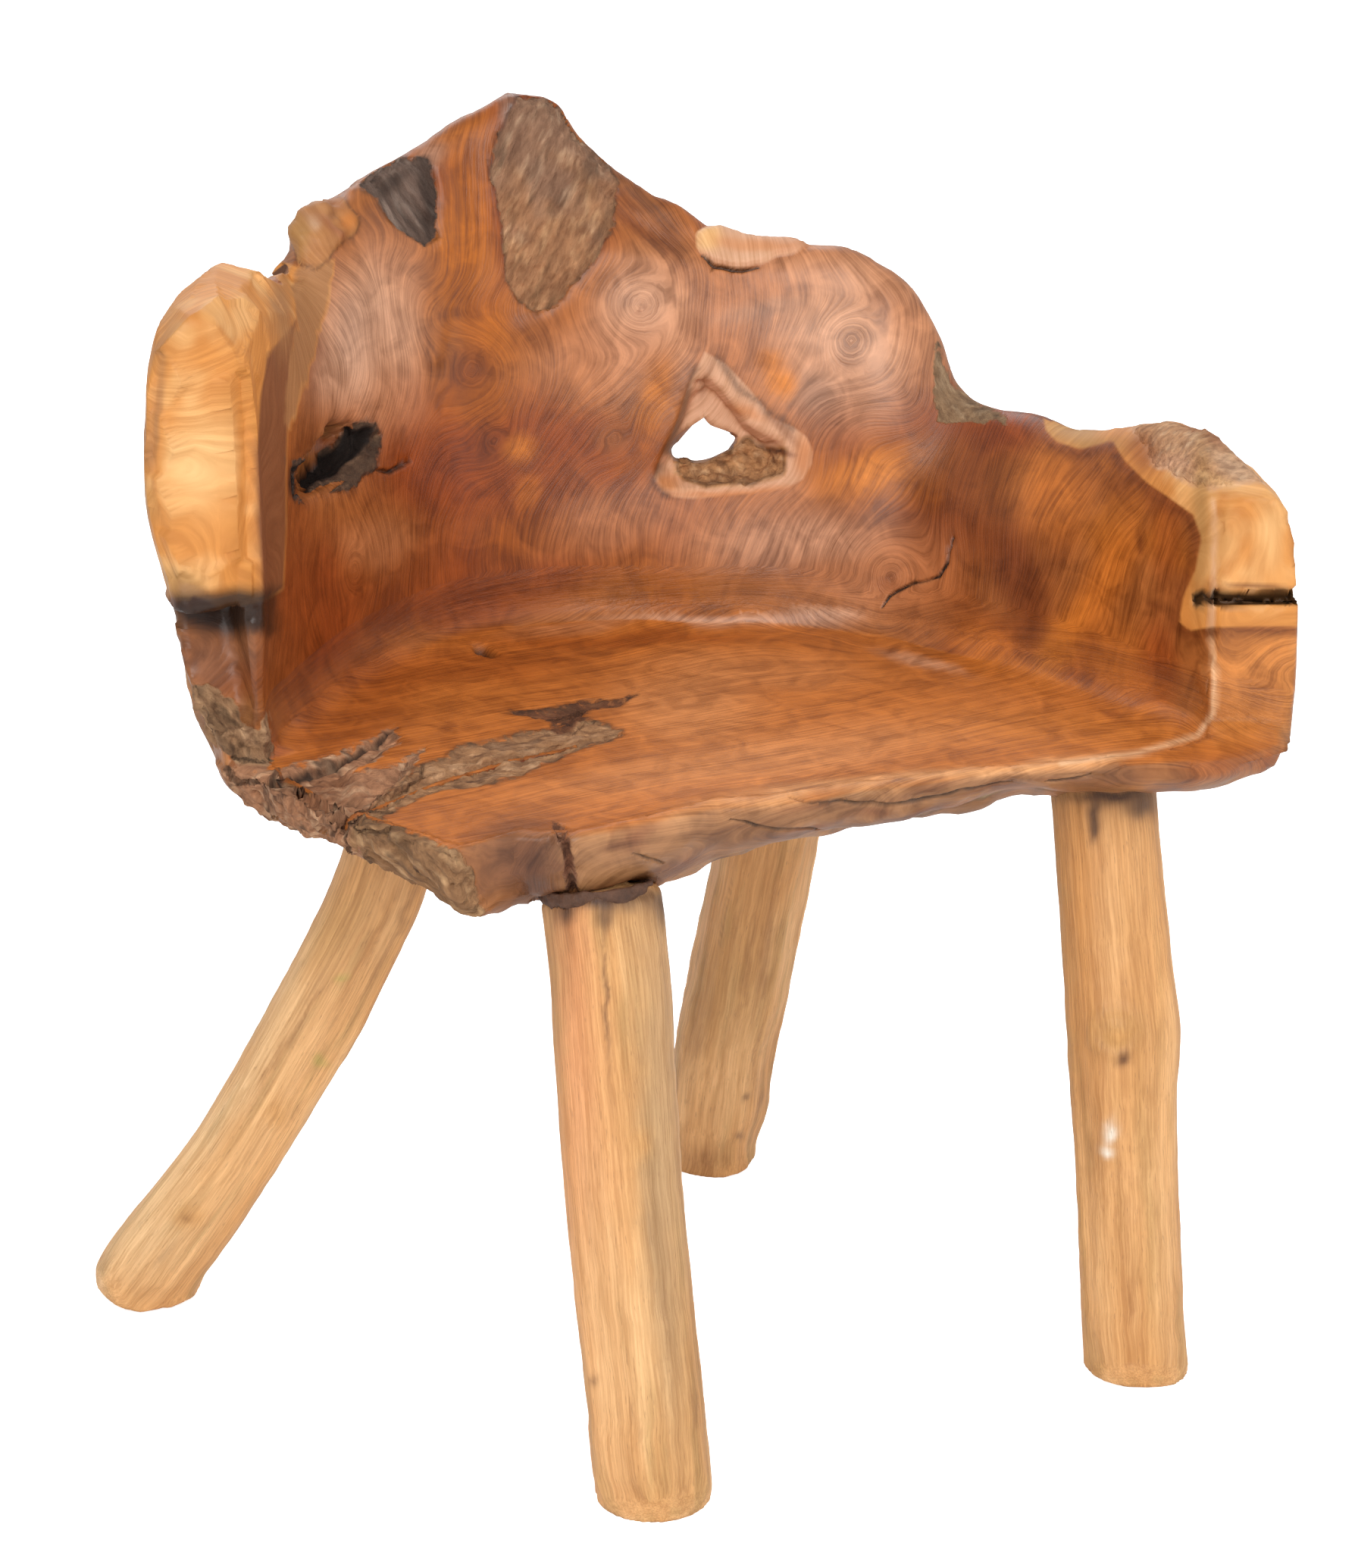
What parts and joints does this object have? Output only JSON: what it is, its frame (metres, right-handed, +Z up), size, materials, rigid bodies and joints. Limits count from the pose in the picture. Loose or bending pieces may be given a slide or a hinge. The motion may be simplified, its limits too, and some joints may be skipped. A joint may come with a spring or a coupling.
{
  "type": "root chair",
  "caption": "Armchair made from one hollowed tree root that forms seat, back and arms, on splayed pole legs wedged into blind sockets.",
  "frame": {"origin": "middle of the object's box on the floor", "axes": "+Z up, the seat opens towards -Y, the high arm is on the -X side"},
  "size_m": [0.7312, 0.6294, 0.7681],
  "materials": {
    "root_wood": "oiled and hand-polished teak heartwood",
    "pole_wood": "peeled sapwood pole, sanded and lightly oiled",
    "wedge_wood": "split dry hardwood",
    "sawdust_glue": "dark sawdust bound with glue"
  },
  "bodies": {
    "root": {"root_body": "root_wood", "leg_front_left": "pole_wood", "filler_front_left": "sawdust_glue", "wedge_front_left": "wedge_wood", "leg_front_right": "pole_wood", "filler_front_right": "sawdust_glue", "wedge_front_right": "wedge_wood", "leg_rear_right": "pole_wood", "filler_rear_right": "sawdust_glue", "wedge_rear_right": "wedge_wood", "leg_rear_left": "pole_wood", "filler_rear_left": "sawdust_glue", "wedge_rear_left": "wedge_wood"}
  },
  "joints": []
}
